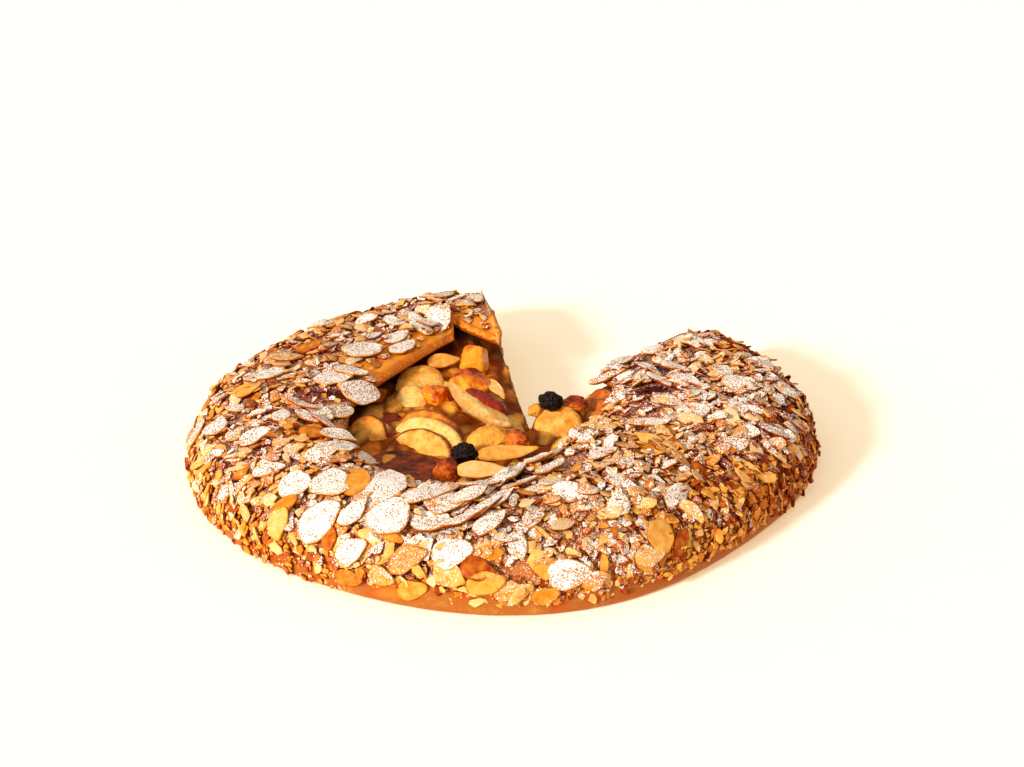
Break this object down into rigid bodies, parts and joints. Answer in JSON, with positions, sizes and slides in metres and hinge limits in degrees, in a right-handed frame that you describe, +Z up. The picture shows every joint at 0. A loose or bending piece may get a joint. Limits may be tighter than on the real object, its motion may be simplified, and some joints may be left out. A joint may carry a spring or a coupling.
{
  "type": "apple galette",
  "caption": "Round rustic apple and almond galette, its crust folded over an open fruit filling, with one slice cut out.",
  "frame": {"origin": "on the surface the galette stands on, under the middle of its bounding box", "axes": "+Z up through the top crust, +Y towards the missing slice at the back, +X to the right seen from the front"},
  "size_m": [0.2654, 0.2655, 0.0349],
  "materials": {
    "baked_crust": "golden brown baked pastry, almonds and icing sugar on it",
    "cooked_apple": "moist cooked apple in layers",
    "apple_slice": "glazed yellow apple with browned edges",
    "caramel_apple": "shiny caramelised apple",
    "sultana": "translucent shiny skin",
    "raisin": "black crumpled skin with small highlights",
    "toasted_almond": "toasted flaked almond"
  },
  "bodies": {
    "root": {"pastry_crust": "baked_crust", "apple_filling": "cooked_apple", "apple_slice_1": "apple_slice", "apple_slice_2": "apple_slice", "apple_slice_3": "apple_slice", "apple_slice_4": "apple_slice", "apple_slice_5": "apple_slice", "apple_slice_6": "apple_slice", "apple_slice_7": "apple_slice", "apple_slice_8": "apple_slice", "apple_slice_9": "apple_slice", "apple_slice_10": "apple_slice", "apple_slice_11": "apple_slice", "caramel_apple_1": "caramel_apple", "caramel_apple_2": "caramel_apple", "caramel_apple_3": "caramel_apple", "glazed_apple": "caramel_apple", "golden_apple": "caramel_apple", "apple_nib": "caramel_apple", "sultana_1": "sultana", "sultana_2": "sultana", "sultana_3": "sultana", "raisin_1": "raisin", "raisin_2": "raisin", "almond_flake_1": "toasted_almond", "almond_flake_2": "toasted_almond", "almond_flake_3": "toasted_almond", "almond_flake_4": "toasted_almond", "almond_flake_5": "toasted_almond"}
  },
  "joints": []
}
